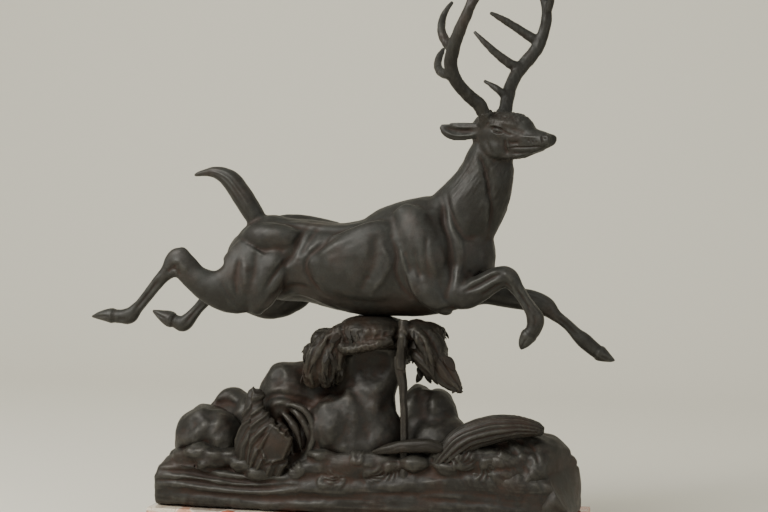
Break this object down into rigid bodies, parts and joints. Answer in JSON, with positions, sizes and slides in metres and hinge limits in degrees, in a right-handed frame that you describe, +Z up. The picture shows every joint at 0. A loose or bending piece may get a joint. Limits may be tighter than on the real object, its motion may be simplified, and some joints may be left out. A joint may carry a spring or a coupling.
{
  "type": "bronze statuette",
  "caption": "Patinated bronze leaping stag, joined from castings, on a rocky foliage base bolted to a veined marble plinth.",
  "frame": {"origin": "centre of the felt underside of the marble plinth, on the surface the statuette stands on", "axes": "+X the way the stag leaps, along the plinth; -Y the stag's right side; +Z up"},
  "size_m": [0.5, 0.1275, 0.5436],
  "materials": {
    "bronze_patina": "dark brown satin patina with greenish grey highlights and red-brown hollows",
    "bronze_foliage": "brown satin patina, chased leaf and bark texture",
    "bronze_pin": "bare turned bronze",
    "steel": "zinc plated",
    "marble": "polished red and cream veined marble",
    "felt": "green wool felt"
  },
  "bodies": {
    "root": {"stag_torso": "bronze_patina", "neck_and_head": "bronze_patina", "right_hind_leg": "bronze_patina", "left_hind_leg": "bronze_patina", "right_foreleg": "bronze_patina", "left_foreleg": "bronze_patina", "tail": "bronze_patina", "right_antler": "bronze_patina", "left_antler": "bronze_patina", "right_ear": "bronze_patina", "left_ear": "bronze_patina", "rock_base": "bronze_patina", "central_boulder": "bronze_patina", "left_boulder": "bronze_patina", "rear_boulder": "bronze_patina", "right_rock": "bronze_patina", "end_rock": "bronze_patina", "foliage_clump": "bronze_patina", "curled_frond": "bronze_patina", "foliage_spray": "bronze_foliage", "bark_plate": "bronze_foliage", "stem": "bronze_foliage", "low_branch": "bronze_foliage", "neck_cross_pin": "bronze_pin", "right_hind_leg_dowel": "bronze_pin", "left_hind_leg_dowel": "bronze_pin", "right_foreleg_dowel": "bronze_pin", "left_foreleg_dowel": "bronze_pin", "tail_dowel": "bronze_pin", "right_antler_pin": "bronze_pin", "left_antler_pin": "bronze_pin", "stag_stud": "steel", "stud_nut": "steel", "stud_washer": "steel", "plinth_screw_left_front": "steel", "plinth_screw_left_rear": "steel", "plinth_screw_right_front": "steel", "plinth_screw_right_rear": "steel", "plinth_washer_left_front": "steel", "plinth_washer_left_rear": "steel", "plinth_washer_right_front": "steel", "plinth_washer_right_rear": "steel", "marble_plinth": "marble", "felt_sheet": "felt"}
  },
  "joints": []
}
